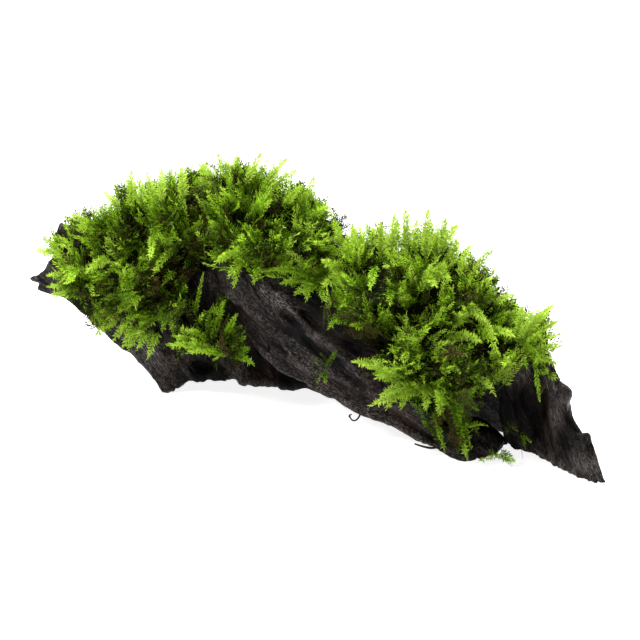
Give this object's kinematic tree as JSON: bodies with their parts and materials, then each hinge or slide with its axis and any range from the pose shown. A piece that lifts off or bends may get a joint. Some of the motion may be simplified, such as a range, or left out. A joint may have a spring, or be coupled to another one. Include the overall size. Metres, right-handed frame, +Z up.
{
  "type": "christmas moss on driftwood",
  "caption": "Arched piece of dark aquarium driftwood with a forked limb and a pointed end, overgrown with bright green Christmas moss.",
  "frame": {"origin": "middle of the bounding box, on the surface that the driftwood stands on", "axes": "+X along the log from its broken end to its pointed end, +Y from the front face to the back, +Z up"},
  "size_m": [0.2432, 0.0768, 0.0972],
  "materials": {
    "wet_driftwood": "wet, near black, grained",
    "moss_green": "fine leafy, bright green",
    "root_black": "matte"
  },
  "bodies": {
    "root": {"driftwood_trunk": "wet_driftwood", "driftwood_front_limb": "wet_driftwood", "driftwood_rear_limb": "wet_driftwood", "rootlet_curl": "root_black", "rootlet_stub": "root_black", "moss_left": "moss_green", "moss_centre": "moss_green", "moss_right": "moss_green", "moss_front_tuft": "moss_green", "moss_hanging_tuft": "moss_green", "moss_blade_tuft": "moss_green", "moss_limb_sprig": "moss_green", "moss_cavity_sprig": "moss_green", "moss_fallen_sprig": "moss_green"}
  },
  "joints": []
}
